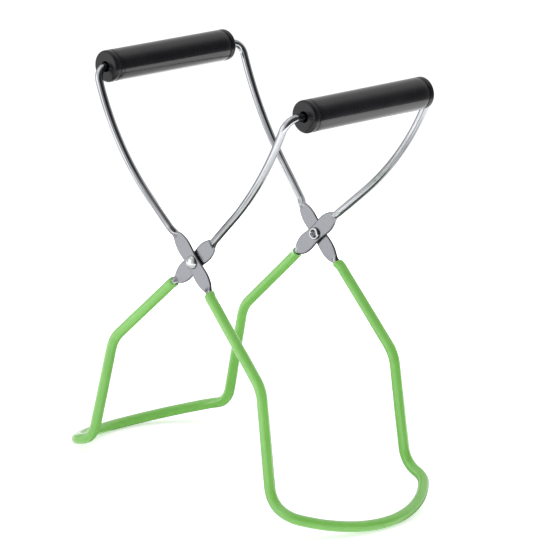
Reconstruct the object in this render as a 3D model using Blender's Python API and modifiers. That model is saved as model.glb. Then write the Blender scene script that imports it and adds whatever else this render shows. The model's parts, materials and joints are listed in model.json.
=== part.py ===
"""Jar lifter: two bent wire halves, riveted together like scissors.

Frame: metres, +Z up, origin on the surface that the lifter stands on, midway between its jaws.
The hinge axis is along Y. The outer half has its jaw at +X and its grip at -X; the inner half
nests inside it and is turned the other way. "near" is the -Y side and "far" is the +Y side.
"""
from math import atan2, ceil, cos, pi, radians, sin, sqrt, tan

import bmesh
import bpy
from mathutils import Matrix, Vector

# ---------------------------------------------------------------- driving dimensions (metres)
WIRE_RADIUS = 0.0019
COAT_GAP = 0.0003                  # clearance that keeps the sleeve off the wire
COAT_THICKNESS = 0.0005
COAT_RADIUS = WIRE_RADIUS + COAT_GAP + COAT_THICKNESS
COAT_START = 0.0178                # distance from the pivot to the sleeve's upper end

MEMBER_ANGLE = radians(45.7)       # each half's lean from vertical at the pivot
PIVOT_SPREAD = 0.0429              # half distance between the two pivots
EYE_OFFSET = 0.0009                # each eye's mid plane, outside or inside of PIVOT_SPREAD
JOGGLE = 0.0018                    # the round wire steps out from its pressed eye by this much
JOGGLE_END = 0.0215                # distance from the pivot where the step is complete

UPPER_STRAIGHT = 0.0395            # straight run above the pivot
UPPER_BEND_RADIUS = 0.152
UPPER_BEND_TURN = radians(22.7)
UPPER_END = 0.0085                 # straight run that meets the grip's axis
GRIP_SPREAD = 0.050                # half width between the legs at the grip
GRIP_CORNER_RADIUS = 0.0064
FLARE_POWER = 2.25                 # the upper legs spread fast near the pivot, then less
BUTT_GAP = 0.0006                  # between the wire's two ends, inside the grip

KNEE_DISTANCE = 0.0731             # pivot to knee
KNEE_RADIUS = 0.0175
LOWER_ANGLE = radians(11.0)        # the lower leg's lean from vertical
LOWER_LENGTH = 0.0553              # knee to jaw bend
JAW_SPREAD = 0.0476                # half width between the legs at the jaw bend
JAW_BEND_RADIUS = 0.013
JAW_TILT = radians(18.7)           # the jaw's plane falls outwards by this much
JAW_REACH = 0.0349                 # jaw bend to the arc's middle, in the jaw's plane
JAW_RADIUS = 0.0622
JAW_CORNER_RADIUS = 0.012

EYE_HALF_THICKNESS = 0.0007        # the wire is pressed flat round the rivet
EYE_WAIST = 0.00405                # half width at the rivet
EYE_LOBE = 0.00465                 # half width of the lobes above and below it
EYE_LOBE_AT = 0.0088
EYE_LOBE_END = 0.0176               # where each lobe has narrowed to the wire
EYE_FLAT = 0.0148                  # the pressed faces reach this far from the pivot
EYE_END = 0.0178                   # and the wire is round again here
RIVET_HOLE_RADIUS = 0.0023

RIVET_RADIUS = 0.0020
RIVET_HEAD_RADIUS = 0.0033
RIVET_HEAD_RIM = 0.0004
RIVET_HEAD_DOME = 0.0015
RIVET_SEAT = EYE_OFFSET + EYE_HALF_THICKNESS + 0.0003
RIVET_CLINCH_RADIUS = 0.0031
RIVET_CLINCH_HEIGHT = 0.0010
RIVET_FUNNEL_RADIUS = 0.0019       # the bore's mouth, spread by the rolling
RIVET_FUNNEL_DEPTH = 0.0012
RIVET_BORE_RADIUS = 0.00145
RIVET_BORE_END = -0.0004

GRIP_RADIUS = 0.00795
GRIP_HALF_LENGTH = 0.0415
GRIP_SHIFT = 0.0025                # each grip has slid this far along its wire
GRIP_WALL = 0.00135
CAP_COLLAR = 0.0036
CAP_PLUG_LENGTH = 0.0042
CAP_FIT = 0.0003
CAP_BORE_RADIUS = 0.0026
CAP_MOUTH = 0.0005                 # flare of the cap's bore at its outer face
CAP_EDGE_RADIUS = 0.0013
TUBE_EDGE = 0.0004

ARC_STEP = radians(9.0)
EYE_STEP = 0.0016
TURNED_STEPS = 24
MERGE = 0.00001

# ---------------------------------------------------------------- dimensions that follow
UPPER_END_ANGLE = MEMBER_ANGLE - UPPER_BEND_TURN
GRIP_X = (UPPER_STRAIGHT * sin(MEMBER_ANGLE)
          + UPPER_BEND_RADIUS * (cos(UPPER_END_ANGLE) - cos(MEMBER_ANGLE))
          + UPPER_END * sin(UPPER_END_ANGLE))
GRIP_Z = (UPPER_STRAIGHT * cos(MEMBER_ANGLE)
          + UPPER_BEND_RADIUS * (sin(MEMBER_ANGLE) - sin(UPPER_END_ANGLE))
          + UPPER_END * cos(UPPER_END_ANGLE))
JAW_X = KNEE_DISTANCE * sin(MEMBER_ANGLE) + LOWER_LENGTH * sin(LOWER_ANGLE)
JAW_Z = -KNEE_DISTANCE * cos(MEMBER_ANGLE) - LOWER_LENGTH * cos(LOWER_ANGLE)
PIVOT_HEIGHT = -JAW_Z + JAW_REACH * sin(JAW_TILT) + COAT_RADIUS
MEMBER_DOWN = Vector((sin(MEMBER_ANGLE), 0, -cos(MEMBER_ANGLE)))
MEMBER_SIDE = Vector((cos(MEMBER_ANGLE), 0, sin(MEMBER_ANGLE)))


# ---------------------------------------------------------------- scene and materials
def clear_scene():
    for old in list(bpy.data.objects):
        bpy.data.objects.remove(old, do_unlink=True)


def new_collection(name):
    collection = bpy.data.collections.new(name)
    bpy.context.scene.collection.children.link(collection)
    return collection


def principled(name, colour, roughness, metallic=0.0):
    material = bpy.data.materials.new(name)
    material.use_nodes = True
    shader = material.node_tree.nodes["Principled BSDF"]
    shader.inputs["Base Color"].default_value = (*colour, 1.0)
    shader.inputs["Roughness"].default_value = roughness
    shader.inputs["Metallic"].default_value = metallic
    material.diffuse_color = (*colour, 1.0)
    return material


def new_empty(name, location, parent=None):
    empty = bpy.data.objects.new(name, None)
    empty.location = location
    empty.parent = parent
    PARTS.objects.link(empty)
    return empty


def add_part(name, data, material, parent):
    part = bpy.data.objects.new(name, data)
    part.parent = parent
    data.materials.clear()
    data.materials.append(material)
    PARTS.objects.link(part)
    return part


# ---------------------------------------------------------------- the wire's route
def arc_about(centre, start, end, turn):
    """Points from start to end on an arc about centre, both ends included."""
    axis = (start - centre).cross(end - centre).normalized()
    steps = max(2, ceil(turn / ARC_STEP))
    return [centre + Matrix.Rotation(turn * k / steps, 3, axis) @ (start - centre)
            for k in range(steps + 1)]


def rounded_corner(before, corner, after, radius):
    """Points of the arc that rounds a corner of the route."""
    back = (before - corner).normalized()
    ahead = (after - corner).normalized()
    half = back.angle(ahead) / 2
    reach = radius / tan(half)
    centre = corner + (back + ahead).normalized() * (radius / sin(half))
    return arc_about(centre, corner + back * reach, corner + ahead * reach, pi - 2 * half)


def upper_leg(eye_y):
    """Points from the eye's upper end up to the corner on the grip's axis."""
    total = UPPER_STRAIGHT + UPPER_BEND_RADIUS * UPPER_BEND_TURN + UPPER_END

    def spread(distance):
        share = (distance - JOGGLE_END) / (total - JOGGLE_END)
        return GRIP_SPREAD - (GRIP_SPREAD - eye_y - JOGGLE) * (1 - share) ** FLARE_POWER

    points = []
    for distance in (JOGGLE_END, (JOGGLE_END + UPPER_STRAIGHT) / 2):
        points.append(Vector((-distance * sin(MEMBER_ANGLE), spread(distance),
                              distance * cos(MEMBER_ANGLE))))
    steps = 9
    for k in range(steps + 1):
        turned = UPPER_BEND_TURN * k / steps
        angle = MEMBER_ANGLE - turned
        across = UPPER_STRAIGHT * sin(MEMBER_ANGLE) + UPPER_BEND_RADIUS * (cos(angle) - cos(MEMBER_ANGLE))
        up = UPPER_STRAIGHT * cos(MEMBER_ANGLE) + UPPER_BEND_RADIUS * (sin(MEMBER_ANGLE) - sin(angle))
        points.append(Vector((-across, spread(UPPER_STRAIGHT + UPPER_BEND_RADIUS * turned), up)))
    points.append(Vector((-GRIP_X, GRIP_SPREAD, GRIP_Z)))
    return points


def grip_run(eye_y):
    """Points from the wire's end inside the grip down to the eye's upper end."""
    leg = upper_leg(eye_y)
    corner = leg.pop()
    end = Vector((-GRIP_X, BUTT_GAP / 2, GRIP_Z))
    return [end] + rounded_corner(end, corner, leg[-1], GRIP_CORNER_RADIUS) + leg[::-1]


def ease(share):
    share = min(1.0, max(0.0, share))
    return share * share * (3 - 2 * share)


def joggle_y(eye_y, distance):
    """The wire's sideways place near the eye, at a distance from the pivot."""
    return eye_y + JOGGLE * ease((abs(distance) - EYE_FLAT) / (JOGGLE_END - EYE_FLAT))


def joggle_point(eye_y, distance):
    """A point on the straight through the pivot, distance downwards."""
    return Vector((0, joggle_y(eye_y, distance), 0)) + MEMBER_DOWN * distance


def eye_run(eye_y):
    """Points through the pressed eye and its steps, evenly spaced, above the pivot to below it."""
    steps = 2 * ceil(JOGGLE_END / EYE_STEP)
    return [joggle_point(eye_y, JOGGLE_END * (2 * k / steps - 1)) for k in range(1, steps + 1)]


def jaw_point(depth, across):
    """A point in the jaw's tilted plane, depth out from the jaw bend."""
    return Vector((JAW_X + depth * cos(JAW_TILT), across, JAW_Z - depth * sin(JAW_TILT)))


def lower_run(eye_y, start):
    """Points from a distance below the pivot, round knee and jaw bend, to the jaw's middle."""
    steps = ceil((JOGGLE_END - start) / EYE_STEP)
    points = [joggle_point(eye_y, start + (JOGGLE_END - start) * k / steps) for k in range(steps)]
    points.append(joggle_point(eye_y, JOGGLE_END))
    share = (KNEE_DISTANCE - JOGGLE_END) / (KNEE_DISTANCE - JOGGLE_END + LOWER_LENGTH)
    knee = MEMBER_DOWN * KNEE_DISTANCE
    knee.y = points[-1].y + (JAW_SPREAD - points[-1].y) * share
    bend = jaw_point(0, JAW_SPREAD)
    points += rounded_corner(points[-1], knee, bend, KNEE_RADIUS)
    points += rounded_corner(knee, bend, jaw_point(JAW_REACH, JAW_SPREAD), JAW_BEND_RADIUS)

    arc_centre = JAW_REACH - JAW_RADIUS
    corner_y = JAW_SPREAD - JAW_CORNER_RADIUS
    corner_depth = arc_centre + sqrt((JAW_RADIUS - JAW_CORNER_RADIUS) ** 2 - corner_y ** 2)
    meet = atan2(corner_y, corner_depth - arc_centre)
    join = jaw_point(arc_centre + JAW_RADIUS * cos(meet), JAW_RADIUS * sin(meet))
    points += arc_about(jaw_point(corner_depth, corner_y), jaw_point(corner_depth, JAW_SPREAD),
                        join, pi / 2 - meet)
    points += arc_about(jaw_point(arc_centre, 0), join, jaw_point(JAW_REACH, 0), meet)[1:]
    return points


def both_sides(points, facing):
    """The near side's points and then the far side's, for a jaw that faces +X or -X."""
    near = [Vector((facing * p.x, -p.y, p.z)) for p in points]
    far = [Vector((p.x, -p.y, p.z)) for p in reversed(near) if p.y < -MERGE]
    return near + far


# ---------------------------------------------------------------- wire, sleeve and eyes
def tube_mesh(name, points, radius, caps):
    """The mesh of a round tube along a route: a curve with a bevel, its caps welded."""
    curve = bpy.data.curves.new(name, "CURVE")
    curve.dimensions = "3D"
    curve.twist_mode = "Z_UP"
    curve.bevel_depth = radius
    curve.bevel_resolution = 2
    curve.use_fill_caps = caps
    spline = curve.splines.new("POLY")
    spline.points.add(len(points) - 1)
    for point, place in zip(spline.points, points):
        point.co = (*place, 1.0)
    holder = bpy.data.objects.new(name, curve)
    bpy.context.scene.collection.objects.link(holder)
    graph = bpy.context.evaluated_depsgraph_get()
    mesh = bpy.data.meshes.new_from_object(holder.evaluated_get(graph))
    bpy.data.objects.remove(holder, do_unlink=True)
    bpy.data.curves.remove(curve)
    body = bmesh.new()
    body.from_mesh(mesh)
    bmesh.ops.remove_doubles(body, verts=body.verts, dist=MERGE)
    bmesh.ops.recalc_face_normals(body, faces=body.faces)
    body.to_mesh(mesh)
    body.free()
    mesh.name = name
    return mesh


def eye_half_width(distance):
    """Half width of the pressed eye: a waist at the rivet and a round lobe on either side."""
    if distance > EYE_LOBE_AT:
        share = min(1.0, (distance - EYE_LOBE_AT) / (EYE_LOBE_END - EYE_LOBE_AT))
        return WIRE_RADIUS + (EYE_LOBE - WIRE_RADIUS) * (1 - share ** 2)
    middle = (EYE_LOBE + EYE_WAIST) / 2
    return middle - (EYE_LOBE - EYE_WAIST) / 2 * cos(pi * distance / EYE_LOBE_AT)


def press_eyes(mesh, eye_y, facing):
    """Flatten the round wire where it passes the hinge axis, as a press does."""
    down = Vector((facing * MEMBER_DOWN.x, 0, MEMBER_DOWN.z))
    side = Vector((facing * MEMBER_SIDE.x, 0, MEMBER_SIDE.z))
    for vertex in mesh.vertices:
        along = vertex.co.dot(down)
        middle_y = joggle_y(eye_y, along) * (1 if vertex.co.y > 0 else -1)
        offset = vertex.co - Vector((0, middle_y, 0))
        if abs(along) > EYE_END or abs(offset.dot(side)) > 2 * WIRE_RADIUS:
            continue
        round_side = offset.dot(side) / WIRE_RADIUS
        round_out = offset.y / WIRE_RADIUS
        flat_side = abs(round_side) ** 0.5 * (1 if round_side > 0 else -1)
        flat_out = max(-1.0, min(1.0, 2 * round_out))
        pressed = ease((EYE_END - abs(along)) / (EYE_END - EYE_FLAT))
        widened = pressed ** 0.5
        new_side = (round_side * WIRE_RADIUS * (1 - widened)
                    + flat_side * eye_half_width(abs(along)) * widened)
        new_out = round_out * WIRE_RADIUS * (1 - pressed) + flat_out * EYE_HALF_THICKNESS * pressed
        vertex.co = Vector((0, middle_y + new_out, 0)) + down * along + side * new_side


def wire_frame(name, eye_y, facing, material, hinge, hole_cutter):
    half = grip_run(eye_y) + eye_run(eye_y) + lower_run(eye_y, JOGGLE_END)[1:]
    mesh = tube_mesh(name, both_sides(half, facing), WIRE_RADIUS, True)
    press_eyes(mesh, eye_y, facing)
    mesh.shade_smooth()
    mesh.set_sharp_from_angle(angle=radians(50))
    frame = add_part(name, mesh, material, hinge)
    hole = frame.modifiers.new("rivet_holes", "BOOLEAN")
    hole.operation = "DIFFERENCE"
    hole.solver = "EXACT"
    hole.object = hole_cutter
    return frame


def jaw_coating(name, eye_y, facing, material, hinge):
    mesh = tube_mesh(name, both_sides(lower_run(eye_y, COAT_START), facing), COAT_RADIUS, False)
    mesh.shade_smooth()
    coating = add_part(name, mesh, material, hinge)
    wall = coating.modifiers.new("wall", "SOLIDIFY")
    wall.thickness = COAT_THICKNESS
    wall.offset = -1.0
    return coating


def rivet_hole_cutter(hinge):
    """One long rod on the hinge axis, which passes through all four eyes."""
    bpy.ops.mesh.primitive_cylinder_add(vertices=TURNED_STEPS, radius=RIVET_HOLE_RADIUS,
                                        depth=2 * GRIP_SPREAD, rotation=(pi / 2, 0, 0))
    rod = bpy.context.object
    rod.name = "rivet_hole_cutter"
    for owner in list(rod.users_collection):
        owner.objects.unlink(rod)
    CUTTERS.objects.link(rod)
    rod.parent = hinge
    rod.hide_render = True
    rod.display_type = "WIRE"
    return rod


# ---------------------------------------------------------------- turned pieces
def arc_profile(radius_at, height_at, radius, start, end, steps):
    """Profile points on an arc, angles measured from the outward direction."""
    return [(radius_at + radius * cos(start + (end - start) * k / steps),
             height_at + radius * sin(start + (end - start) * k / steps))
            for k in range(steps + 1)]


def turned(name, profile, closed, material, parent, location, outward):
    """Spin a (radius, height) profile about an axis that points to +Y or -Y."""
    mesh = bpy.data.meshes.new(name)
    edges = [(k, k + 1) for k in range(len(profile) - 1)]
    if closed:
        edges.append((len(profile) - 1, 0))
    mesh.from_pydata([(radius, 0, height) for radius, height in profile], edges, [])
    part = add_part(name, mesh, material, parent)
    part.location = location
    part.rotation_euler = (-outward * pi / 2, 0, 0)
    spin = part.modifiers.new("spin", "SCREW")
    spin.axis = "Z"
    spin.steps = TURNED_STEPS
    spin.render_steps = TURNED_STEPS
    spin.use_merge_vertices = True
    spin.merge_threshold = MERGE
    spin.use_smooth_shade = True
    return part


def rivet(name, outward, material, hinge):
    """Semi-tubular rivet: domed head outside, shank through both eyes, end rolled over inside."""
    dome_base = RIVET_SEAT + RIVET_HEAD_RIM
    dome_radius = (RIVET_HEAD_RADIUS ** 2 + RIVET_HEAD_DOME ** 2) / (2 * RIVET_HEAD_DOME)
    dome_edge = atan2(dome_radius - RIVET_HEAD_DOME, RIVET_HEAD_RADIUS)
    dome = arc_profile(0, dome_base + RIVET_HEAD_DOME - dome_radius, dome_radius, pi / 2, dome_edge, 5)
    dome[0] = (0.0, dome[0][1])
    clinch_top = -RIVET_SEAT
    clinch_end = clinch_top - RIVET_CLINCH_HEIGHT
    profile = dome + [
        (RIVET_HEAD_RADIUS, RIVET_SEAT),
        (RIVET_RADIUS, RIVET_SEAT),
        (RIVET_RADIUS, clinch_top),
        (RIVET_CLINCH_RADIUS - 0.0002, clinch_top),
        (RIVET_CLINCH_RADIUS, clinch_top - 0.0004),
        (RIVET_CLINCH_RADIUS - 0.0005, clinch_end + 0.0001),
        (RIVET_FUNNEL_RADIUS + 0.0002, clinch_end),
        (RIVET_FUNNEL_RADIUS, clinch_end + 0.0001),
        (RIVET_BORE_RADIUS, clinch_end + RIVET_FUNNEL_DEPTH),
        (RIVET_BORE_RADIUS, RIVET_BORE_END),
        (0.0, RIVET_BORE_END),
    ]
    return turned(name, profile, False, material, hinge, (0, outward * PIVOT_SPREAD, 0), outward)


def grip_tube(name, material, axis):
    """Hollow plastic tube, its ends slightly rounded, short of the cap collars by CAP_FIT."""
    end = GRIP_HALF_LENGTH - CAP_COLLAR - CAP_FIT
    bore = GRIP_RADIUS - GRIP_WALL
    profile = [
        (bore, end),
        (GRIP_RADIUS - TUBE_EDGE, end),
        (GRIP_RADIUS, end - TUBE_EDGE),
        (GRIP_RADIUS, TUBE_EDGE - end),
        (GRIP_RADIUS - TUBE_EDGE, -end),
        (bore, -end),
    ]
    return turned(name, profile, True, material, axis, (0, 0, 0), 1)


def grip_cap(name, outward, material, axis):
    """End cap: a round-edged collar outside, a plug inside the tube, and a bore for the wire."""
    face = GRIP_HALF_LENGTH
    shoulder = face - CAP_COLLAR
    plug = GRIP_RADIUS - GRIP_WALL - CAP_FIT
    plug_end = shoulder - CAP_PLUG_LENGTH
    edge = arc_profile(GRIP_RADIUS - CAP_EDGE_RADIUS, face - CAP_EDGE_RADIUS, CAP_EDGE_RADIUS,
                       pi / 2, 0, 4)
    profile = [(CAP_BORE_RADIUS + CAP_MOUTH, face)] + edge + [
        (GRIP_RADIUS, shoulder + TUBE_EDGE),
        (GRIP_RADIUS - TUBE_EDGE, shoulder),
        (plug, shoulder),
        (plug, plug_end + TUBE_EDGE),
        (plug - TUBE_EDGE, plug_end),
        (CAP_BORE_RADIUS, plug_end),
        (CAP_BORE_RADIUS, face - CAP_MOUTH),
    ]
    return turned(name, profile, True, material, axis, (0, 0, 0), outward)


# ---------------------------------------------------------------- assembly
def build_half(side, eye_y, facing, hinge, cutter, steel, vinyl, black_tube, black_cap):
    wire_frame(f"{side}_wire_frame", eye_y, facing, steel, hinge, cutter)
    jaw_coating(f"{side}_jaw_coating", eye_y, facing, vinyl, hinge)
    axis = new_empty(f"{side}_grip_axis", (-facing * GRIP_X, -facing * GRIP_SHIFT, GRIP_Z), hinge)
    grip_tube(f"{side}_grip_tube", black_tube, axis)
    grip_cap(f"{side}_grip_cap_near", -1, black_cap, axis)
    grip_cap(f"{side}_grip_cap_far", 1, black_cap, axis)


clear_scene()
PARTS = new_collection("jar_lifter")
CUTTERS = new_collection("jar_lifter_cutters")

STEEL = principled("nickel_plated_wire", (0.60, 0.61, 0.63), 0.18, 1.0)
RIVET_STEEL = principled("rivet_steel", (0.66, 0.66, 0.67), 0.15, 1.0)
VINYL = principled("green_vinyl", (0.24, 0.55, 0.12), 0.35)
TUBE_PLASTIC = principled("black_grip_plastic", (0.012, 0.012, 0.013), 0.25)
CAP_PLASTIC = principled("black_cap_plastic", (0.018, 0.018, 0.02), 0.35)

HINGE = new_empty("scissor_hinge", (0, 0, PIVOT_HEIGHT))
CUTTER = rivet_hole_cutter(HINGE)
build_half("outer", PIVOT_SPREAD + EYE_OFFSET, 1, HINGE, CUTTER, STEEL, VINYL, TUBE_PLASTIC, CAP_PLASTIC)
build_half("inner", PIVOT_SPREAD - EYE_OFFSET, -1, HINGE, CUTTER, STEEL, VINYL, TUBE_PLASTIC, CAP_PLASTIC)
rivet("rivet_near", -1, RIVET_STEEL, HINGE)
rivet("rivet_far", 1, RIVET_STEEL, HINGE)
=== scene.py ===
"""Looks of the jar lifter: plated wire, dipped vinyl, black roller grips and rivets.

Each half of the wire is drawn in a template frame: origin on the hinge axis, +X towards that
half's own jaw, +Y outwards from the middle, +Z up. It is then mirrored to the near (-Y) and
far (+Y) sides. The outer half faces +X and the inner half faces -X. Lengths are in metres.
"""

import json
from math import atan2, ceil, cos, pi, radians, sin, sqrt, tan

import bmesh
import bpy
from mathutils import Matrix, Vector


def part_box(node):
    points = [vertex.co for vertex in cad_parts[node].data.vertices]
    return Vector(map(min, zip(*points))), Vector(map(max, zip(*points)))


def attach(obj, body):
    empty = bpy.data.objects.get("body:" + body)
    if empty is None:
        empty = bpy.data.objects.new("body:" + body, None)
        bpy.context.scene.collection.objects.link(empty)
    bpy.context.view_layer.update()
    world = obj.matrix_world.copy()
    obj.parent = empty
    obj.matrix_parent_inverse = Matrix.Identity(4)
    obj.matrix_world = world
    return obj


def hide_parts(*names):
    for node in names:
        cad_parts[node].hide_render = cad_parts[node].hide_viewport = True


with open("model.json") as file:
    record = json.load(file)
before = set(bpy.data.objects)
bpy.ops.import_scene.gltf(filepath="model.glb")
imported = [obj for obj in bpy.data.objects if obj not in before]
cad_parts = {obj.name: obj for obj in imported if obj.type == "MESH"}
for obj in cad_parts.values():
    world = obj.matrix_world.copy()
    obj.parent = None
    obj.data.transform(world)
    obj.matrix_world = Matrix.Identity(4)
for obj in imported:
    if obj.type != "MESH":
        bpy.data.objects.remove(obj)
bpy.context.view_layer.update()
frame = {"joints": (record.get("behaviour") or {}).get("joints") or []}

# ---------------------------------------------------------------- dimensions shared with the CAD
WIRE_RADIUS = 0.0019
COAT_RADIUS = 0.0027
COAT_START = 0.0178
MEMBER_ANGLE = radians(45.7)
PIVOT_SPREAD = 0.0429
EYE_OFFSET = 0.0009
JOGGLE = 0.0018
JOGGLE_END = 0.0215
UPPER_STRAIGHT = 0.0395
UPPER_BEND_RADIUS = 0.152
UPPER_BEND_TURN = radians(22.7)
UPPER_END = 0.0085
GRIP_SPREAD = 0.050
GRIP_CORNER_RADIUS = 0.0064
FLARE_POWER = 2.25
BUTT_GAP = 0.0006
KNEE_DISTANCE = 0.0731
KNEE_RADIUS = 0.0175
LOWER_ANGLE = radians(11.0)
LOWER_LENGTH = 0.0553
JAW_SPREAD = 0.0476
JAW_BEND_RADIUS = 0.013
JAW_TILT = radians(18.7)
JAW_REACH = 0.0349
JAW_RADIUS = 0.0622
JAW_CORNER_RADIUS = 0.012
EYE_HALF_THICKNESS = 0.0007
EYE_WAIST = 0.00405
EYE_LOBE = 0.00465
EYE_LOBE_AT = 0.0088
EYE_LOBE_END = 0.0176
EYE_FLAT = 0.0148
EYE_END = 0.0178
RIVET_HOLE_RADIUS = 0.0023
RIVET_RADIUS = 0.0020
RIVET_HEAD_RADIUS = 0.0033
RIVET_HEAD_HEIGHT = 0.0038
RIVET_CLINCH_RADIUS = 0.0031
RIVET_CLINCH_END = 0.0029
RIVET_FUNNEL_RADIUS = 0.0019
RIVET_FUNNEL_DEPTH = 0.0012
RIVET_BORE_RADIUS = 0.00145
RIVET_BORE_END = -0.0004
GRIP_RADIUS = 0.00795
GRIP_HALF_LENGTH = 0.0415
GRIP_WALL = 0.00135
CAP_COLLAR = 0.0036
CAP_PLUG_LENGTH = 0.0042
CAP_FIT = 0.0003
CAP_BORE_RADIUS = 0.0026
CAP_MOUTH = 0.0005
CAP_EDGE_RADIUS = 0.0013
TUBE_EDGE = 0.0004

# ---------------------------------------------------------------- fineness of the meshes
SECTION_QUARTER = 10               # section points in each quarter of the wire
EDGE_QUARTER = 4                   # of those, the points on a pressed eye's round edge
ARC_STEP = radians(3.0)
STRAIGHT_STEP = 0.003
EYE_STEP = 0.0005
LATHE_STEPS = 96

# ---------------------------------------------------------------- dimensions that follow
JOINT_AT = {joint["name"]: Vector(joint["pos_m"]) for joint in frame["joints"]}
HINGE_AT = JOINT_AT["scissor_hinge"]
UPPER_END_ANGLE = MEMBER_ANGLE - UPPER_BEND_TURN
UPPER_TOTAL = UPPER_STRAIGHT + UPPER_BEND_RADIUS * UPPER_BEND_TURN + UPPER_END
GRIP_X = (UPPER_STRAIGHT * sin(MEMBER_ANGLE)
          + UPPER_BEND_RADIUS * (cos(UPPER_END_ANGLE) - cos(MEMBER_ANGLE))
          + UPPER_END * sin(UPPER_END_ANGLE))
GRIP_Z = (UPPER_STRAIGHT * cos(MEMBER_ANGLE)
          + UPPER_BEND_RADIUS * (sin(MEMBER_ANGLE) - sin(UPPER_END_ANGLE))
          + UPPER_END * cos(UPPER_END_ANGLE))
JAW_X = KNEE_DISTANCE * sin(MEMBER_ANGLE) + LOWER_LENGTH * sin(LOWER_ANGLE)
JAW_Z = -KNEE_DISTANCE * cos(MEMBER_ANGLE) - LOWER_LENGTH * cos(LOWER_ANGLE)
MEMBER_DOWN = Vector((sin(MEMBER_ANGLE), 0, -cos(MEMBER_ANGLE)))
MEMBER_SIDE = Vector((cos(MEMBER_ANGLE), 0, sin(MEMBER_ANGLE)))
OUTWARD = Vector((0, 1, 0))


# ---------------------------------------------------------------- the wire's route
def ease(share):
    share = min(1.0, max(0.0, share))
    return share * share * (3 - 2 * share)


def line(start, end):
    """Points from start to end, evenly spaced, without the end itself."""
    steps = max(1, ceil((end - start).length / STRAIGHT_STEP))
    return [start.lerp(end, k / steps) for k in range(steps)]


def arc_about(centre, start, end, turn):
    """Points from start to end on an arc about centre, both ends included."""
    axis = (start - centre).cross(end - centre).normalized()
    steps = max(2, ceil(turn / ARC_STEP))
    return [centre + Matrix.Rotation(turn * k / steps, 3, axis) @ (start - centre)
            for k in range(steps + 1)]


def rounded_corner(before, corner, after, radius):
    """Points of the arc that rounds a corner of the route."""
    back = (before - corner).normalized()
    ahead = (after - corner).normalized()
    half = back.angle(ahead) / 2
    reach = radius / tan(half)
    centre = corner + (back + ahead).normalized() * (radius / sin(half))
    return arc_about(centre, corner + back * reach, corner + ahead * reach, pi - 2 * half)


def upper_point(eye_y, distance):
    """A point of the upper leg, at a distance along it from the hinge axis."""
    share = (distance - JOGGLE_END) / (UPPER_TOTAL - JOGGLE_END)
    out = GRIP_SPREAD - (GRIP_SPREAD - eye_y - JOGGLE) * (1 - share) ** FLARE_POWER
    bent = min(max(distance - UPPER_STRAIGHT, 0), UPPER_BEND_RADIUS * UPPER_BEND_TURN)
    straight = min(distance, UPPER_STRAIGHT)
    angle = MEMBER_ANGLE - bent / UPPER_BEND_RADIUS
    across = (straight * sin(MEMBER_ANGLE)
              + UPPER_BEND_RADIUS * (cos(angle) - cos(MEMBER_ANGLE)))
    up = (straight * cos(MEMBER_ANGLE)
          + UPPER_BEND_RADIUS * (sin(MEMBER_ANGLE) - sin(angle)))
    return Vector((-across, out, up))


def upper_run(eye_y):
    """Points from the wire's end inside the grip down to the eye's upper end."""
    bend_end = UPPER_TOTAL - UPPER_END
    steps = ceil((bend_end - JOGGLE_END) / STRAIGHT_STEP)
    leg = [upper_point(eye_y, bend_end + (JOGGLE_END - bend_end) * k / steps)
           for k in range(steps + 1)]
    corner = Vector((-GRIP_X, GRIP_SPREAD, GRIP_Z))
    end = Vector((-GRIP_X, BUTT_GAP / 2, GRIP_Z))
    bend = rounded_corner(end, corner, leg[0], GRIP_CORNER_RADIUS)
    return line(end, bend[0]) + bend + leg[:-1]


def joggle_y(eye_y, distance):
    """The wire's sideways place near the eye, at a distance from the hinge axis."""
    return eye_y + JOGGLE * ease((abs(distance) - EYE_FLAT) / (JOGGLE_END - EYE_FLAT))


def joggle_slope(distance):
    """How fast the wire steps sideways there, metre for metre."""
    share = (abs(distance) - EYE_FLAT) / (JOGGLE_END - EYE_FLAT)
    if not 0 < share < 1:
        return 0.0
    return JOGGLE * 6 * share * (1 - share) / (JOGGLE_END - EYE_FLAT)


def joggle_point(eye_y, distance):
    return OUTWARD * joggle_y(eye_y, distance) + MEMBER_DOWN * distance


def jaw_point(depth, across):
    """A point in the jaw's tilted plane, depth out from the jaw bend."""
    return Vector((JAW_X + depth * cos(JAW_TILT), across, JAW_Z - depth * sin(JAW_TILT)))


def lower_run(eye_y):
    """Points from the eye's lower end, round knee and jaw bend, to the jaw's middle."""
    start = joggle_point(eye_y, JOGGLE_END)
    share = (KNEE_DISTANCE - JOGGLE_END) / (KNEE_DISTANCE - JOGGLE_END + LOWER_LENGTH)
    knee = MEMBER_DOWN * KNEE_DISTANCE
    knee.y = start.y + (JAW_SPREAD - start.y) * share
    bend = jaw_point(0, JAW_SPREAD)
    knee_arc = rounded_corner(start, knee, bend, KNEE_RADIUS)
    bend_arc = rounded_corner(knee, bend, jaw_point(JAW_REACH, JAW_SPREAD), JAW_BEND_RADIUS)

    arc_centre = JAW_REACH - JAW_RADIUS
    corner_y = JAW_SPREAD - JAW_CORNER_RADIUS
    corner_depth = arc_centre + sqrt((JAW_RADIUS - JAW_CORNER_RADIUS) ** 2 - corner_y ** 2)
    meet = atan2(corner_y, corner_depth - arc_centre)
    join = jaw_point(arc_centre + JAW_RADIUS * cos(meet), JAW_RADIUS * sin(meet))
    corner_arc = arc_about(jaw_point(corner_depth, corner_y), jaw_point(corner_depth, JAW_SPREAD),
                           join, pi / 2 - meet)
    sweep = arc_about(jaw_point(arc_centre, 0), join, jaw_point(JAW_REACH, 0), meet)
    return (line(start, knee_arc[0])[1:] + knee_arc[:-1] + line(knee_arc[-1], bend_arc[0])
            + bend_arc[:-1] + line(bend_arc[-1], corner_arc[0]) + corner_arc + sweep[1:])


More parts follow.
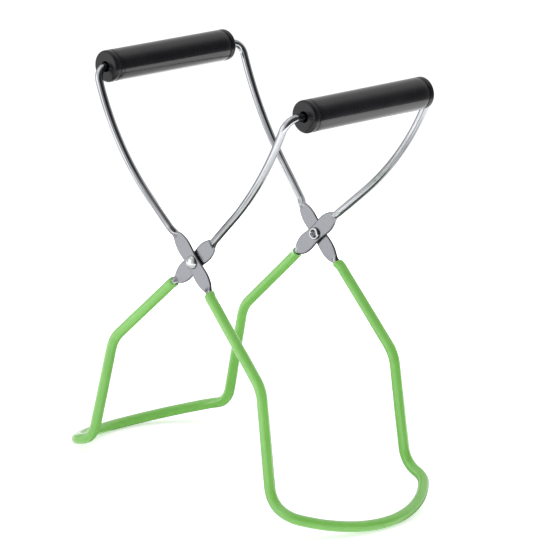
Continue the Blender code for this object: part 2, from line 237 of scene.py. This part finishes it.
# ---------------------------------------------------------------- stations along the wire
class Station:
    """A place on the wire's centre line, with the two axes of its cross section."""

    def __init__(self, place, side, out, member=None):
        self.place = place
        self.side = side
        self.out = out
        self.member = member       # signed distance from the hinge axis, near the eye only
        self.along = 0.0


def carry_frames(points, side, out):
    """Stations along points, the section's axes carried on from the first without twist."""
    stations = []
    tangent = side.cross(out)
    for k, place in enumerate(points):
        ahead = points[min(k + 1, len(points) - 1)] - points[max(k - 1, 0)]
        ahead = ahead.normalized()
        if k == len(points) - 1:
            ahead = Vector((0, round(ahead.y), 0))
        if tangent.dot(ahead) < 0:
            tangent = -tangent
        turn = tangent.rotation_difference(ahead)
        side = turn @ side
        out = turn @ out
        tangent = ahead
        stations.append(Station(place, side, out))
    return stations


def wire_stations(eye_y):
    """Every station of one side, from the wire's end inside the grip to the jaw's middle."""
    steps = 2 * ceil(JOGGLE_END / EYE_STEP)
    eye = []
    for k in range(steps + 1):
        distance = JOGGLE_END * (2 * k / steps - 1)
        eye.append(Station(joggle_point(eye_y, distance), MEMBER_SIDE, OUTWARD, distance))
    above = carry_frames(upper_run(eye_y)[::-1], MEMBER_SIDE, OUTWARD)
    below = carry_frames(lower_run(eye_y), MEMBER_SIDE, OUTWARD)
    stations = above[::-1] + eye + below
    for before, after in zip(stations, stations[1:]):
        after.along = before.along + (after.place - before.place).length
    return stations


# ---------------------------------------------------------------- cross sections
def section_angles():
    count = 4 * SECTION_QUARTER
    return [2 * pi * j / count for j in range(count)]


def flat_section(j, half_width, half_thickness):
    """Point j of a flat bar's section whose two edges are fully round."""
    quarter, step = divmod(j, SECTION_QUARTER)
    if quarter in (1, 3):
        step = SECTION_QUARTER - step
    if step <= EDGE_QUARTER:
        angle = pi / 2 * step / EDGE_QUARTER
        side = half_width - half_thickness + half_thickness * cos(angle)
        out = half_thickness * sin(angle)
    else:
        share = (SECTION_QUARTER - step) / (SECTION_QUARTER - EDGE_QUARTER)
        side = (half_width - half_thickness) * share
        out = half_thickness
    return (-side if quarter in (1, 2) else side), (-out if quarter in (2, 3) else out)


def eye_half_width(distance):
    """Half width of the pressed eye: a waist at the rivet and a round lobe on either side."""
    if distance > EYE_LOBE_AT:
        share = min(1.0, (distance - EYE_LOBE_AT) / (EYE_LOBE_END - EYE_LOBE_AT))
        return WIRE_RADIUS + (EYE_LOBE - WIRE_RADIUS) * (1 - share ** 2)
    middle = (EYE_LOBE + EYE_WAIST) / 2
    return middle - (EYE_LOBE - EYE_WAIST) / 2 * cos(pi * distance / EYE_LOBE_AT)


def wire_section(station):
    """The section's points about the centre line, and how far it is pressed flat."""
    if station.member is None or abs(station.member) > JOGGLE_END:
        return [(WIRE_RADIUS * cos(a), WIRE_RADIUS * sin(a)) for a in section_angles()], 0.0
    distance = abs(station.member)
    tall = WIRE_RADIUS * sqrt(1 + joggle_slope(distance) ** 2)
    pressed = ease((EYE_END - distance) / (EYE_END - EYE_FLAT))
    widened = pressed ** 0.5
    points = []
    for j, angle in enumerate(section_angles()):
        flat_side, flat_out = flat_section(j, eye_half_width(distance), EYE_HALF_THICKNESS)
        points.append((WIRE_RADIUS * cos(angle) * (1 - widened) + flat_side * widened,
                       tall * sin(angle) * (1 - pressed) + flat_out * pressed))
    return points, pressed


def coat_waviness(along, angle):
    """How much of the dip is missing here, from 0 to 1: a slow, even unevenness."""
    wave = (sin(along * 410 + 1.3 * sin(angle)) + sin(along * 173 + angle)
            + 0.7 * sin(along * 957 + 2 * angle + 0.6))
    return 0.5 + wave / 5.4


def coat_section(station, lip, dip):
    """The dip's section; lip runs from 0 at its upper edge to 1 where it has full thickness."""
    inner = WIRE_RADIUS + 0.00002
    stretch = 1.0
    if station.member is not None:
        stretch = sqrt(1 + joggle_slope(station.member) ** 2)
    points = []
    for angle in section_angles():
        full = COAT_RADIUS - dip * coat_waviness(station.along, angle)
        radius = inner + (full - inner) * lip
        points.append((radius * cos(angle), stretch * radius * sin(angle)))
    return points


# ---------------------------------------------------------------- lofted meshes
def side_points(station, section, facing, hand):
    """The section's points in the row frame; hand is -1 for the near side and 1 for the far."""
    found = []
    for along_side, along_out in section:
        p = station.place + station.side * along_side + station.out * along_out
        found.append(HINGE_AT + Vector((facing * p.x, hand * p.y, p.z)))
    return found


class Loft:
    """A closed skin over rings that all have the same number of points."""

    def __init__(self, name):
        self.name = name
        self.body = bmesh.new()
        self.route = self.body.verts.layers.float_vector.new("wire_route")
        self.pressed = self.body.verts.layers.float.new("pressed")
        self.rings = []

    def ring(self, points, along, pressed=0.0):
        made = []
        for point, angle in zip(points, section_angles()):
            vertex = self.body.verts.new(point)
            vertex[self.route] = Vector((along, cos(angle), sin(angle)))
            vertex[self.pressed] = pressed
            made.append(vertex)
        self.rings.append(made)

    def skin(self, first, second):
        count = len(first)
        for j in range(count):
            self.body.faces.new((first[j], first[(j + 1) % count],
                                 second[(j + 1) % count], second[j]))

    def finish(self, ends_joined, material):
        for first, second in zip(self.rings, self.rings[1:]):
            self.skin(first, second)
        if ends_joined:
            self.skin(self.rings[-1], self.rings[0])
        else:
            self.body.faces.new(self.rings[0])
            self.body.faces.new(self.rings[-1])
        bmesh.ops.recalc_face_normals(self.body, faces=self.body.faces)
        return finished_piece(self.name, self.body, material)


def finished_piece(name, body, material):
    mesh = bpy.data.meshes.new(name)
    body.to_mesh(mesh)
    body.free()
    mesh.shade_smooth()
    mesh.set_sharp_from_angle(angle=radians(40))
    mesh.materials.append(material)
    piece = bpy.data.objects.new(name, mesh)
    bpy.context.scene.collection.objects.link(piece)
    return piece


def wire_frame(name, node, eye_y, facing, material):
    """One half's wire, from butt to butt, round in its legs and pressed flat at its two eyes."""
    stations = wire_stations(eye_y)
    whole = stations[-1].along
    loft = Loft(name)
    sides = [(station, -1) for station in stations] + [(s, 1) for s in stations[-2::-1]]
    for index, (station, hand) in enumerate(sides):
        section, pressed = wire_section(station)
        along = station.along if hand < 0 else 2 * whole - station.along
        if index in (0, len(sides) - 1):
            blunt = [(x * 0.8, y * 0.8) for x, y in section]
            section_points = side_points(station, blunt, facing, hand)
        else:
            section_points = side_points(station, section, facing, hand)
        loft.ring(section_points, along, pressed)
    wire = loft.finish(False, material)
    drill_eyes(wire)
    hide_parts(node)
    return wire


def drill_eyes(wire):
    """Cut the two rivet holes on the hinge axis."""
    rod = lathe("rivet_hole_cutter", [(0, -GRIP_SPREAD), (RIVET_HOLE_RADIUS, -GRIP_SPREAD),
                                      (RIVET_HOLE_RADIUS, GRIP_SPREAD), (0, GRIP_SPREAD)],
                HINGE_AT, 1, None)
    cut = wire.modifiers.new("rivet_holes", "BOOLEAN")
    cut.operation = "DIFFERENCE"
    cut.solver = "EXACT"
    cut.object = rod
    graph = bpy.context.evaluated_depsgraph_get()
    drilled = bpy.data.meshes.new_from_object(wire.evaluated_get(graph))
    wire.modifiers.clear()
    wire.data = drilled
    bpy.data.objects.remove(rod, do_unlink=True)


def jaw_coating(name, node, eye_y, facing, material):
    """The dipped vinyl on one half: a closed skin over the wire, with a soft edge at each eye."""
    stations = [s for s in wire_stations(eye_y)
                if (s.member is None and s.place.z < 0)
                or (s.member is not None and s.member >= COAT_START - 0.0001)]
    whole = stations[-1].along
    first = stations[0].along
    outer = [(s, -1) for s in stations] + [(s, 1) for s in stations[-2::-1]]
    loft = Loft(name)
    for station, hand in outer:
        rise = min(1.0, (station.along - first) / 0.0007)
        lip = sqrt(1 - (1 - rise) ** 2)
        section = coat_section(station, 0.35 + 0.65 * lip, 0.00008)
        along = station.along if hand < 0 else 2 * whole - station.along
        loft.ring(side_points(station, section, facing, hand), along)
    for station, hand in reversed(outer):
        along = station.along if hand < 0 else 2 * whole - station.along
        section = coat_section(station, 0.0, 0.0)
        loft.ring(side_points(station, section, facing, hand), along)
    coating = loft.finish(True, material)
    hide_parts(node)
    return coating


# ---------------------------------------------------------------- turned pieces
def arc_profile(radius_at, height_at, radius, start, end, steps):
    """Profile points on an arc, angles measured from the outward direction."""
    return [(radius_at + radius * cos(start + (end - start) * k / steps),
             height_at + radius * sin(start + (end - start) * k / steps))
            for k in range(steps + 1)]


def lathe(name, profile, centre, outward, material):
    """Turn a (radius, height) profile about an axis through centre, height along +Y or -Y.
    A profile that starts and ends on the axis makes a solid; any other one is closed on itself."""
    body = bmesh.new()
    columns = []
    for radius, height in profile:
        if radius < 1e-7:
            columns.append([body.verts.new(centre + Vector((0, outward * height, 0)))])
            continue
        columns.append([body.verts.new(centre + Vector((radius * cos(2 * pi * k / LATHE_STEPS),
                                                        outward * height,
                                                        radius * sin(2 * pi * k / LATHE_STEPS))))
                        for k in range(LATHE_STEPS)])
    pairs = list(zip(columns, columns[1:]))
    if len(columns[0]) > 1:
        pairs.append((columns[-1], columns[0]))
    for first, second in pairs:
        for k in range(LATHE_STEPS):
            n = (k + 1) % LATHE_STEPS
            corners = [first[k % len(first)], first[n % len(first)],
                       second[n % len(second)], second[k % len(second)]]
            body.faces.new(list(dict.fromkeys(corners)))
    bmesh.ops.recalc_face_normals(body, faces=body.faces)
    if material is None:
        mesh = bpy.data.meshes.new(name)
        body.to_mesh(mesh)
        body.free()
        piece = bpy.data.objects.new(name, mesh)
        bpy.context.scene.collection.objects.link(piece)
        return piece
    return finished_piece(name, body, material)


def rivet(name, node, outward, material):
    """Semi-tubular rivet: domed head outside, shank through both eyes, end rolled over inside."""
    seat = EYE_OFFSET + EYE_HALF_THICKNESS + 0.00002
    rim = 0.0006
    dome_base = seat + rim
    dome_height = RIVET_HEAD_HEIGHT - dome_base
    dome_radius = (RIVET_HEAD_RADIUS ** 2 + dome_height ** 2) / (2 * dome_height)
    dome_edge = atan2(dome_radius - dome_height, RIVET_HEAD_RADIUS)
    dome = arc_profile(0, RIVET_HEAD_HEIGHT - dome_radius, dome_radius, pi / 2, dome_edge, 14)
    dome[0] = (0.0, RIVET_HEAD_HEIGHT)
    roll = (RIVET_CLINCH_RADIUS - RIVET_FUNNEL_RADIUS) / 2
    roll_at = RIVET_FUNNEL_RADIUS + roll
    rolled = arc_profile(roll_at, roll - RIVET_CLINCH_END, roll, 0.15 * pi, -pi, 16)
    profile = dome[:-1] + [
        (RIVET_HEAD_RADIUS - 0.00004, dome_base),
        (RIVET_HEAD_RADIUS, dome_base - 0.0001),
        (RIVET_HEAD_RADIUS, seat + 0.00015),
        (RIVET_HEAD_RADIUS - 0.00015, seat),
        (RIVET_RADIUS, seat),
        (RIVET_RADIUS, -seat),
    ] + rolled + [
        (RIVET_BORE_RADIUS + 0.0001, RIVET_FUNNEL_DEPTH - RIVET_CLINCH_END - 0.0002),
        (RIVET_BORE_RADIUS, RIVET_FUNNEL_DEPTH - RIVET_CLINCH_END),
        (RIVET_BORE_RADIUS, RIVET_BORE_END - 0.0001),
        (RIVET_BORE_RADIUS - 0.0003, RIVET_BORE_END),
        (0.0, RIVET_BORE_END + 0.0002),
    ]
    piece = lathe(name, profile, HINGE_AT + OUTWARD * outward * PIVOT_SPREAD, outward, material)
    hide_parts(node)
    return piece


def grip_tube(name, node, centre, material):
    """Hollow plastic tube with softly rounded ends, a hair short of the cap collars."""
    end = GRIP_HALF_LENGTH - CAP_COLLAR - CAP_FIT
    bore = GRIP_RADIUS - GRIP_WALL
    edge_at = GRIP_RADIUS - TUBE_EDGE
    front = arc_profile(edge_at, end - TUBE_EDGE, TUBE_EDGE, pi / 2, 0, 6)
    back = arc_profile(edge_at, TUBE_EDGE - end, TUBE_EDGE, 0, -pi / 2, 6)
    rows = [(GRIP_RADIUS, front[-1][1] + (back[0][1] - front[-1][1]) * k / 24)
            for k in range(1, 24)]
    profile = [(bore, end)] + front + rows + back + [(bore, -end)]
    piece = lathe(name, profile, centre, 1, material)
    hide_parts(node)
    return piece


def grip_cap(name, node, centre, outward, material):
    """End cap: a round-edged collar outside, a plug inside the tube, and a bore for the wire."""
    face = GRIP_HALF_LENGTH
    shoulder = face - CAP_COLLAR
    plug = GRIP_RADIUS - GRIP_WALL - CAP_FIT
    plug_end = shoulder - CAP_PLUG_LENGTH
    mouth = arc_profile(CAP_BORE_RADIUS + CAP_MOUTH, face - CAP_MOUTH, CAP_MOUTH, pi, pi / 2, 6)
    edge = arc_profile(GRIP_RADIUS - CAP_EDGE_RADIUS, face - CAP_EDGE_RADIUS, CAP_EDGE_RADIUS,
                       pi / 2, 0, 12)
    back = arc_profile(GRIP_RADIUS - TUBE_EDGE, shoulder + TUBE_EDGE, TUBE_EDGE, 0, -pi / 2, 6)
    profile = mouth + edge + back + [
        (plug, shoulder),
        (plug, plug_end + TUBE_EDGE),
        (plug - TUBE_EDGE, plug_end),
        (CAP_BORE_RADIUS, plug_end),
    ]
    piece = lathe(name, profile, centre, outward, material)
    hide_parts(node)
    return piece


# ---------------------------------------------------------------- materials
class Graph:
    """A small builder for a material's nodes."""

    def __init__(self, name):
        self.material = bpy.data.materials.new(name)
        self.material.use_nodes = True
        self.tree = self.material.node_tree
        self.shader = self.tree.nodes["Principled BSDF"]

    def node(self, kind, **settings):
        made = self.tree.nodes.new(kind)
        for key, value in settings.items():
            setattr(made, key, value)
        return made

    def link(self, source, target):
        self.tree.links.new(source, target)

    def attribute(self, name):
        return self.node("ShaderNodeAttribute", attribute_name=name)

    def scaled(self, vector, scale):
        made = self.node("ShaderNodeVectorMath", operation="MULTIPLY")
        self.link(vector, made.inputs[0])
        made.inputs[1].default_value = scale
        return made.outputs["Vector"]

    def place(self):
        return self.node("ShaderNodeTexCoord").outputs["Object"]

    def noise(self, vector, scale, detail=3.0, roughness=0.55):
        made = self.node("ShaderNodeTexNoise")
        self.link(vector, made.inputs["Vector"])
        made.inputs["Scale"].default_value = scale
        made.inputs["Detail"].default_value = detail
        made.inputs["Roughness"].default_value = roughness
        return made.outputs["Fac"]

    def spread(self, value, low, high, to_low, to_high):
        made = self.node("ShaderNodeMapRange", interpolation_type="SMOOTHSTEP")
        self.link(value, made.inputs["Value"])
        made.inputs["From Min"].default_value = low
        made.inputs["From Max"].default_value = high
        made.inputs["To Min"].default_value = to_low
        made.inputs["To Max"].default_value = to_high
        return made.outputs["Result"]

    def maths(self, operation, first, second):
        made = self.node("ShaderNodeMath", operation=operation)
        for index, value in enumerate((first, second)):
            if isinstance(value, (int, float)):
                made.inputs[index].default_value = value
            else:
                self.link(value, made.inputs[index])
        return made.outputs["Value"]

    def mix_colour(self, factor, first, second):
        made = self.node("ShaderNodeMix", data_type="RGBA")
        self.link(factor, made.inputs["Factor"])
        for socket, value in ((made.inputs[6], first), (made.inputs[7], second)):
            if isinstance(value, tuple):
                socket.default_value = (*value, 1.0)
            else:
                self.link(value, socket)
        return made.outputs[2]

    def mix_value(self, factor, first, second):
        made = self.node("ShaderNodeMix", data_type="FLOAT")
        self.link(factor, made.inputs["Factor"])
        for socket, value in ((made.inputs[2], first), (made.inputs[3], second)):
            if isinstance(value, (int, float)):
                socket.default_value = value
            else:
                self.link(value, socket)
        return made.outputs[0]

    def bump(self, height, strength, distance, below=None):
        made = self.node("ShaderNodeBump")
        made.inputs["Strength"].default_value = strength
        made.inputs["Distance"].default_value = distance
        self.link(height, made.inputs["Height"])
        if below is not None:
            self.link(below, made.inputs["Normal"])
        return made.outputs["Normal"]

    def surface(self, colour=None, roughness=None, normal=None, **constants):
        if colour is not None:
            self.link(colour, self.shader.inputs["Base Color"])
        if roughness is not None:
            self.link(roughness, self.shader.inputs["Roughness"])
        if normal is not None:
            self.link(normal, self.shader.inputs["Normal"])
        for name, value in constants.items():
            self.shader.inputs[name.replace("_", " ")].default_value = value
        return self.material


STEEL_GLANCE = (0.50, 0.51, 0.53, 1.0)    # how much nickel sends back at a glancing angle


def plated_wire_material():
    """Bright nickel plate over drawn wire: fine lines along it, partly real drawing lines and partly painted
    reflection where they darken the plate; hazy where the eyes are pressed.
    """
    g = Graph("plated_wire")
    route = g.attribute("wire_route").outputs["Vector"]
    pressed = g.attribute("pressed").outputs["Fac"]
    place = g.place()
    draw_lines_and_painted_reflection = g.noise(g.scaled(route, (14, 3.2, 3.2)), 1.0, 3.0, 0.6)
    haze = g.noise(place, 160, 3.0)
    stamped = g.noise(place, 900, 4.0, 0.65)
    pits = g.noise(place, 2600, 2.0)
    bare_colour = g.mix_colour(g.spread(haze, 0.35, 0.7, 0, 1), (0.48, 0.49, 0.51), (0.55, 0.56, 0.58))
    # painted reflection: where the drawing lines run, the plate's colour drops towards near black, so the
    # darkest stripes stand in for dark reflected lines as well as real drawing marks
    round_colour = g.mix_colour(g.spread(draw_lines_and_painted_reflection, 0.40, 0.52, 0.75, 0), bare_colour, (0.10, 0.104, 0.112))
    flat_colour = g.mix_colour(g.spread(stamped, 0.35, 0.7, 0, 1),
                               (0.215, 0.221, 0.236), (0.245, 0.251, 0.267))
    colour = g.mix_colour(pressed, round_colour, flat_colour)
    round_gloss = g.maths("ADD", g.spread(draw_lines_and_painted_reflection, 0.3, 0.7, 0.07, 0.15), g.spread(haze, 0.45, 0.75, 0.0, 0.07))
    flat_gloss = g.spread(stamped, 0.3, 0.7, 0.22, 0.38)
    gloss = g.mix_value(pressed, round_gloss, flat_gloss)
    height = g.mix_value(pressed, draw_lines_and_painted_reflection, stamped)
    normal = g.bump(height, 0.22, 0.00002)
    normal = g.bump(pits, 0.08, 0.00002, normal)
    return g.surface(colour, gloss, normal, Metallic=1.0, Specular_Tint=STEEL_GLANCE)


def rivet_material():
    """Plated steel rivet, bright, with a faint tumbled texture."""
    g = Graph("rivet_steel")
    place = g.place()
    tumbled = g.noise(place, 1400, 4.0, 0.6)
    stain = g.noise(place, 420, 2.0)
    colour = g.mix_colour(g.spread(stain, 0.35, 0.7, 0, 1), (0.46, 0.465, 0.48), (0.56, 0.565, 0.58))
    gloss = g.spread(tumbled, 0.3, 0.7, 0.10, 0.22)
    return g.surface(colour, gloss, g.bump(tumbled, 0.2, 0.00003), Metallic=1.0)


def vinyl_material():
    """Dipped green vinyl: glossy, slightly uneven in depth, with a soft skin."""
    g = Graph("green_vinyl")
    place = g.place()
    depth = g.noise(place, 45, 2.0)
    mottle = g.noise(place, 260, 3.0)
    skin = g.noise(place, 1100, 2.0, 0.5)
    base = g.mix_colour(g.spread(depth, 0.3, 0.7, 0, 1), (0.178, 0.480, 0.085), (0.203, 0.515, 0.102))
    colour = g.mix_colour(g.spread(mottle, 0.45, 0.8, 0, 0.2), base, (0.24, 0.60, 0.12))
    gloss = g.spread(mottle, 0.3, 0.7, 0.18, 0.25)
    normal = g.bump(skin, 0.05, 0.00002)
    normal = g.bump(mottle, 0.04, 0.00006, normal)
    return g.surface(colour, gloss, normal, Coat_Weight=0.5, Coat_Roughness=0.06,
                     Subsurface_Weight=0.08, Subsurface_Scale=0.002)


def grip_material():
    """Glossy moulded black plastic with fine scuffs along the roller."""
    g = Graph("grip_plastic")
    place = g.place()
    scuffs = g.noise(g.scaled(place, (900, 120, 900)), 1.0, 4.0, 0.6)
    cloud = g.noise(place, 70, 3.0)
    orange = g.noise(place, 600, 2.0)
    colour = g.mix_colour(g.spread(cloud, 0.35, 0.7, 0, 1),
                          (0.0080, 0.0076, 0.0098), (0.0110, 0.0106, 0.0128))
    gloss = g.maths("ADD", g.spread(cloud, 0.3, 0.7, 0.12, 0.17), g.spread(scuffs, 0.55, 0.8, 0.0, 0.07))
    normal = g.bump(orange, 0.06, 0.0002)
    normal = g.bump(scuffs, 0.08, 0.00003, normal)
    return g.surface(colour, gloss, normal)


def cap_material():
    """Moulded black plastic, a little duller than the roller, with a fine spark texture."""
    g = Graph("cap_plastic")
    place = g.place()
    spark = g.noise(place, 2200, 3.0, 0.6)
    cloud = g.noise(place, 240, 3.0)
    colour = g.mix_colour(g.spread(cloud, 0.35, 0.7, 0, 1), (0.007, 0.007, 0.009), (0.011, 0.011, 0.013))
    gloss = g.spread(spark, 0.3, 0.7, 0.20, 0.30)
    return g.surface(colour, gloss, g.bump(spark, 0.15, 0.00006), Specular_IOR_Level=0.3)


# ---------------------------------------------------------------- floor, light and camera
VIEW_AZIMUTH = radians(44.0)
VIEW_ELEVATION = radians(16.08)
VIEW_ROLL = radians(2.32)
VIEW_DISTANCE = 1.9575
VIEW_OFFSET = (-0.0091, 0.0137)    # rightwards and upwards, from the view's middle to the hinge
SENSOR = 36.0
LENS = 260.24
TABLE_RADIUS = 0.52
TABLE_GLOW = 0.42                  # glow of the table under the object
TABLE_RIM_GLOW = 1.25              # and of its outer part
PAINTED_SHADE_RADIUS = 0.10
PAINTED_SHADE_AT = (0.0, 0.03, 0.0002)      # painted shade on the table under the lifter, met only by reflections
TABLE_GLOW_FROM = 0.15             # distances from the middle between which the glow rises
TABLE_GLOW_TO = 0.34
SURROUND = 0.85
ROOM_LEVEL = 0.07                  # the unlit side of the studio
ROOM_AT = (92, 14)                 # azimuth and elevation, degrees
ROOM_HALF_ANGLE = 57
ROOM_SOFTNESS = 20
WINDOW = 1.2                       # the bright patch, over the surround
WINDOW_AT = (-32, 4)
WINDOW_HALF_ANGLE = 22
WINDOW_SOFTNESS = 16
BACKDROP = 1.1                     # white as the camera sees it


def floor_material():
    """Matt white light table, glowing more towards its rim."""
    g = Graph("studio_floor")
    fine = g.noise(g.place(), 900, 2.0)
    colour = g.mix_colour(g.spread(fine, 0.3, 0.7, 0, 1), (0.86, 0.86, 0.86), (0.88, 0.88, 0.88))
    radius = g.node("ShaderNodeVectorMath", operation="LENGTH")
    g.link(g.place(), radius.inputs[0])
    glow = g.spread(radius.outputs["Value"], TABLE_GLOW_FROM, TABLE_GLOW_TO, TABLE_GLOW, TABLE_RIM_GLOW)
    g.link(glow, g.shader.inputs["Emission Strength"])
    return g.surface(colour, None, g.bump(fine, 0.05, 0.0001), Roughness=0.8, Emission_Color=(1, 1, 1, 1))


def build_floor():
    body = bmesh.new()
    bmesh.ops.create_circle(body, cap_ends=True, segments=96, radius=TABLE_RADIUS)
    floor = finished_piece("studio_floor", body, floor_material())


def painted_shade_material():
    """Painted shade: matt dark grey, seen only in reflections."""
    g = Graph("shade_card")
    fibre = g.noise(g.place(), 700, 3.0)
    colour = g.mix_colour(g.spread(fibre, 0.3, 0.7, 0, 1), (0.17, 0.17, 0.17), (0.21, 0.21, 0.21))
    return g.surface(colour, None, g.bump(fibre, 0.05, 0.0001), Roughness=0.9)


def build_shade_card():
    """Painted shade: a dark grey disc stands in for the shaded table under the lifter and gives the bright
    wire its dark reflected lines.
    """
    body = bmesh.new()
    bmesh.ops.create_circle(body, cap_ends=True, segments=96, radius=PAINTED_SHADE_RADIUS,
                            matrix=Matrix.Translation(PAINTED_SHADE_AT))
    painted_shade_disc = finished_piece("shade_card", body, painted_shade_material())
    # painted shade: the disc is hidden from the camera, from diffuse light and from shadows, so it shows only
    # in reflections
    painted_shade_disc.visible_camera = False
    painted_shade_disc.visible_diffuse = False
    painted_shade_disc.visible_shadow = False


def toward(azimuth, elevation):
    """Unit vector to a place seen from the object; azimuth 0 is the -Y side."""
    return Vector((sin(azimuth) * cos(elevation), -cos(azimuth) * cos(elevation), sin(elevation)))


def lobe(tree, direction, half_angle, softness, inside, outside):
    """A round patch of the surround: its level inside, outside, and a soft edge between."""
    coord = tree.nodes.new("ShaderNodeTexCoord")
    facing = tree.nodes.new("ShaderNodeVectorMath")
    facing.operation = "DOT_PRODUCT"
    facing.inputs[1].default_value = direction
    level = tree.nodes.new("ShaderNodeMapRange")
    level.interpolation_type = "SMOOTHSTEP"
    level.inputs["From Min"].default_value = cos(half_angle + softness)
    level.inputs["From Max"].default_value = cos(max(0, half_angle - softness))
    level.inputs["To Min"].default_value = outside
    level.inputs["To Max"].default_value = inside
    tree.links.new(coord.outputs["Generated"], facing.inputs[0])
    tree.links.new(facing.outputs["Value"], level.inputs["Value"])
    return level.outputs["Result"]


def build_world():
    """White studio, unlit on the side of the camera and to its right, brightest low on the left."""
    world = bpy.data.worlds.new("studio")
    world.use_nodes = True
    bpy.context.scene.world = world
    tree = world.node_tree
    tree.nodes.clear()
    room = lobe(tree, toward(*map(radians, ROOM_AT)), radians(ROOM_HALF_ANGLE), radians(ROOM_SOFTNESS),
                ROOM_LEVEL, SURROUND)
    window = lobe(tree, toward(*map(radians, WINDOW_AT)), radians(WINDOW_HALF_ANGLE),
                  radians(WINDOW_SOFTNESS), WINDOW, 0.0)
    total = tree.nodes.new("ShaderNodeMath")
    total.operation = "ADD"
    tree.links.new(room, total.inputs[0])
    tree.links.new(window, total.inputs[1])
    studio = tree.nodes.new("ShaderNodeBackground")
    tree.links.new(total.outputs["Value"], studio.inputs["Strength"])
    white = tree.nodes.new("ShaderNodeBackground")
    white.inputs["Strength"].default_value = BACKDROP
    for background in (studio, white):
        background.inputs["Color"].default_value = (1, 1, 1, 1)
    path = tree.nodes.new("ShaderNodeLightPath")
    mix = tree.nodes.new("ShaderNodeMixShader")
    tree.links.new(path.outputs["Is Camera Ray"], mix.inputs["Fac"])
    tree.links.new(studio.outputs["Background"], mix.inputs[1])
    tree.links.new(white.outputs["Background"], mix.inputs[2])
    output = tree.nodes.new("ShaderNodeOutputWorld")
    tree.links.new(mix.outputs["Shader"], output.inputs["Surface"])


def soft_light(name, azimuth, elevation, distance, size, watts, mirrored=True):
    """A large soft light; one that isn't mirrored lights surfaces without a reflection of itself."""
    light = bpy.data.lights.new(name, "AREA")
    light.shape = "RECTANGLE"
    light.size = size[0]
    light.size_y = size[1]
    light.energy = watts
    holder = bpy.data.objects.new(name, light)
    way = toward(azimuth, elevation)
    holder.location = HINGE_AT + way * distance
    holder.rotation_euler = way.to_track_quat("Z", "Y").to_euler()
    holder.visible_glossy = mirrored
    bpy.context.scene.collection.objects.link(holder)


def build_lights():
    soft_light("key", radians(-50), radians(62), 1.5, (1.0, 1.0), 1.6)
    soft_light("fill", radians(170), radians(45), 1.6, (1.2, 1.0), 4, mirrored=False)
    soft_light("side", radians(85), radians(20), 1.5, (1.0, 1.0), 8.5, mirrored=False)


def build_camera():
    toward_camera = toward(VIEW_AZIMUTH, VIEW_ELEVATION)
    level_right = Vector((cos(VIEW_AZIMUTH), sin(VIEW_AZIMUTH), 0))
    level_up = toward_camera.cross(level_right)
    right = level_right * cos(VIEW_ROLL) + level_up * sin(VIEW_ROLL)
    up = level_up * cos(VIEW_ROLL) - level_right * sin(VIEW_ROLL)
    data = bpy.data.cameras.new("camera")
    data.sensor_width = SENSOR
    data.lens = LENS
    data.clip_end = 60
    camera = bpy.data.objects.new("camera", data)
    place = (HINGE_AT + toward_camera * VIEW_DISTANCE
             - right * VIEW_OFFSET[0] - up * VIEW_OFFSET[1])
    axes = Matrix((right, up, toward_camera)).transposed().to_4x4()
    camera.matrix_world = Matrix.Translation(place) @ axes
    bpy.context.scene.collection.objects.link(camera)
    bpy.context.scene.camera = camera


# ---------------------------------------------------------------- the whole object
def put(piece, body):
    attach(piece, body)


def build_half(side, eye_y, facing, steel, vinyl):
    body = f"{side}_half"
    put(wire_frame(f"{side}_wire", f"{side}_wire_frame", eye_y, facing, steel), body)
    put(jaw_coating(f"{side}_vinyl", f"{side}_jaw_coating", eye_y, facing, vinyl), body)


def build_grip(side, tube_plastic, cap_plastic):
    body = f"{side}_grip"
    centre = JOINT_AT[f"{side}_grip_spin"]
    low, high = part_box(f"{side}_grip_tube")
    centre = Vector((centre.x, (low.y + high.y) / 2, centre.z))
    put(grip_tube(f"{side}_roller", f"{side}_grip_tube", centre, tube_plastic), body)
    put(grip_cap(f"{side}_cap_near", f"{side}_grip_cap_near", centre, -1, cap_plastic), body)
    put(grip_cap(f"{side}_cap_far", f"{side}_grip_cap_far", centre, 1, cap_plastic), body)


def build_lifter():
    steel = plated_wire_material()
    vinyl = vinyl_material()
    build_half("outer", PIVOT_SPREAD + EYE_OFFSET, 1, steel, vinyl)
    build_half("inner", PIVOT_SPREAD - EYE_OFFSET, -1, steel, vinyl)
    rivets = rivet_material()
    put(rivet("hinge_rivet_near", "rivet_near", -1, rivets), "outer_half")
    put(rivet("hinge_rivet_far", "rivet_far", 1, rivets), "outer_half")
    tube_plastic = grip_material()
    cap_plastic = cap_material()
    build_grip("outer", tube_plastic, cap_plastic)
    build_grip("inner", tube_plastic, cap_plastic)


build_lifter()
build_floor()
build_shade_card()
build_world()
build_lights()
build_camera()
bpy.context.scene.view_settings.view_transform = "Standard"
